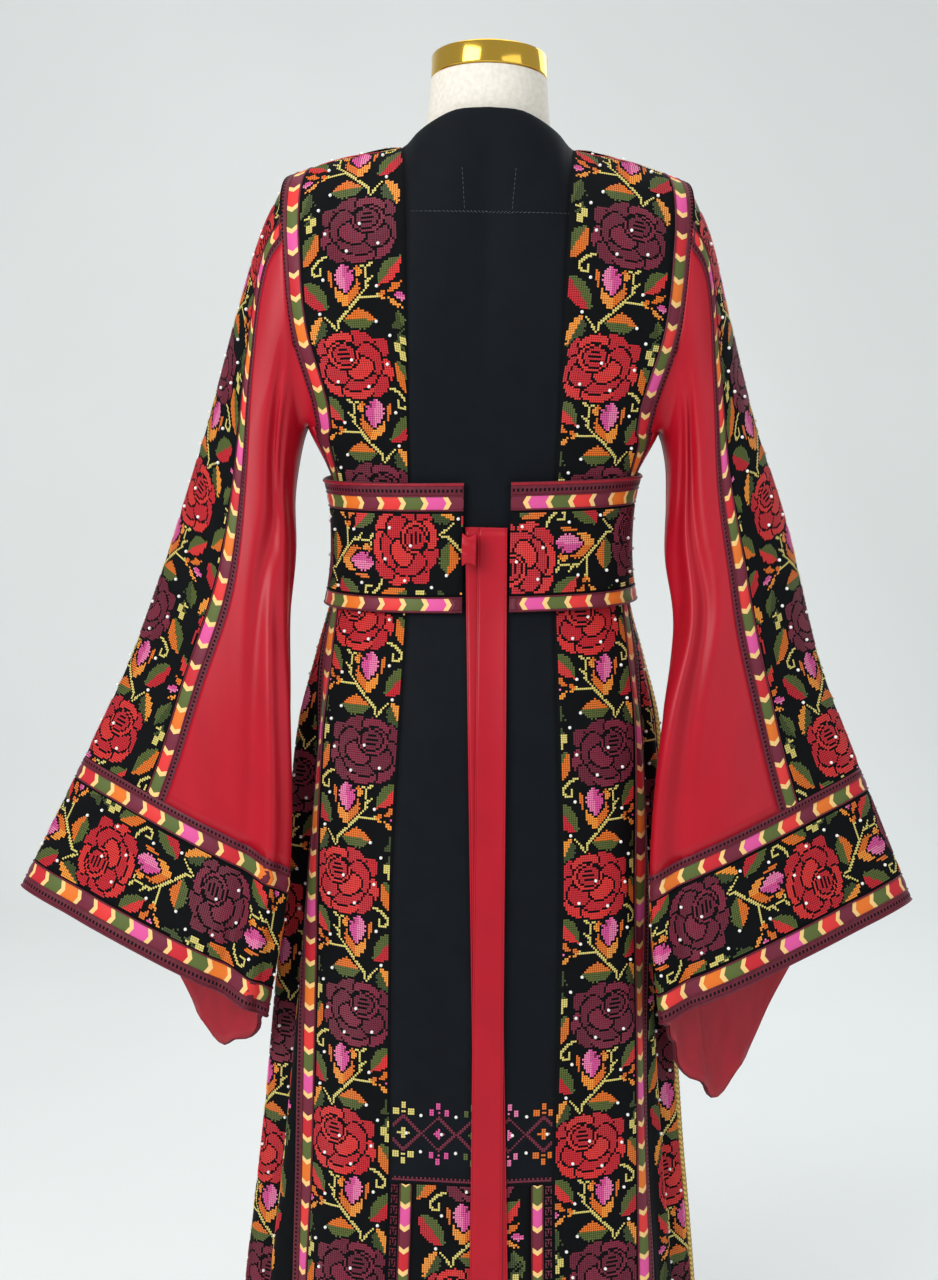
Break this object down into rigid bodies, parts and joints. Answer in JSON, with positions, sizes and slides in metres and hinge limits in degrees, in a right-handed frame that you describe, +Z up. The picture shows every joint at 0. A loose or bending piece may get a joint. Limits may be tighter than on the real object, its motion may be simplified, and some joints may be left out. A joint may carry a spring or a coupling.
{
  "type": "palestinian thobe dress on a dress form",
  "caption": "Long embroidered thobe dress with wide bell sleeves, deep cuffs, an open-backed belt and a satin sash, worn on a limbless dress form with a round base.",
  "frame": {"origin": "middle of the dress form's round base, on the floor", "axes": "+Z up, -Y the way the wearer's back faces, +X the wearer's right"},
  "size_m": [0.9008, 0.409, 1.5223],
  "materials": {
    "black_crepe": "matt black crepe, plain woven",
    "rose_embroidery": "black cloth filled with cross stitch in maroon, red, orange, pink, green and cream thread",
    "striped_border": "satin stitch chevron stripe with maroon piping",
    "red_satin": "soft sheen satin",
    "gold_braid": "woven metallic braid",
    "linen_cover": "tight cream linen",
    "polished_gold": "mirror polished plating",
    "painted_steel": "pale semi-gloss paint"
  },
  "bodies": {
    "root": {"belt_band": "rose_embroidery", "belt_bottom_border": "striped_border", "belt_top_border": "striped_border", "bodice_back_band_left": "rose_embroidery", "bodice_back_band_right": "rose_embroidery", "bodice_back_border_left": "striped_border", "bodice_back_border_right": "striped_border", "bodice_back_centre": "black_crepe", "bodice_front_band_left": "rose_embroidery", "bodice_front_band_right": "rose_embroidery", "bodice_front_border_left": "striped_border", "bodice_front_border_right": "striped_border", "bodice_front_centre": "black_crepe", "bodice_gusset_left": "red_satin", "bodice_gusset_right": "red_satin", "cuff_left_band": "rose_embroidery", "cuff_left_hem_border": "striped_border", "cuff_left_lining": "red_satin", "cuff_left_top_border": "striped_border", "cuff_right_band": "rose_embroidery", "cuff_right_hem_border": "striped_border", "cuff_right_lining": "red_satin", "cuff_right_top_border": "striped_border", "form_base": "painted_steel", "form_body": "linen_cover", "form_neck_cap": "polished_gold", "form_pole": "painted_steel", "sash_knot": "red_satin", "sash_tail_over": "red_satin", "sash_tail_under": "red_satin", "skirt_back_band_left": "rose_embroidery", "skirt_back_band_right": "rose_embroidery", "skirt_back_border_left": "striped_border", "skirt_back_border_right": "striped_border", "skirt_back_centre": "black_crepe", "skirt_back_lower_border_left": "striped_border", "skirt_back_lower_border_right": "striped_border", "skirt_back_lower_panel": "rose_embroidery", "skirt_braid_left": "gold_braid", "skirt_braid_right": "gold_braid", "skirt_front_band_left": "rose_embroidery", "skirt_front_band_right": "rose_embroidery", "skirt_front_border_left": "striped_border", "skirt_front_border_right": "striped_border", "skirt_front_centre": "black_crepe", "skirt_side_back_left": "rose_embroidery", "skirt_side_back_right": "rose_embroidery", "skirt_side_front_left": "rose_embroidery", "skirt_side_front_right": "rose_embroidery", "sleeve_left_back_border": "striped_border", "sleeve_left_back_gore": "red_satin", "sleeve_left_band": "rose_embroidery", "sleeve_left_front_border": "striped_border", "sleeve_left_front_gore": "red_satin", "sleeve_right_back_border": "striped_border", "sleeve_right_back_gore": "red_satin", "sleeve_right_band": "rose_embroidery", "sleeve_right_front_border": "striped_border", "sleeve_right_front_gore": "red_satin"}
  },
  "joints": []
}
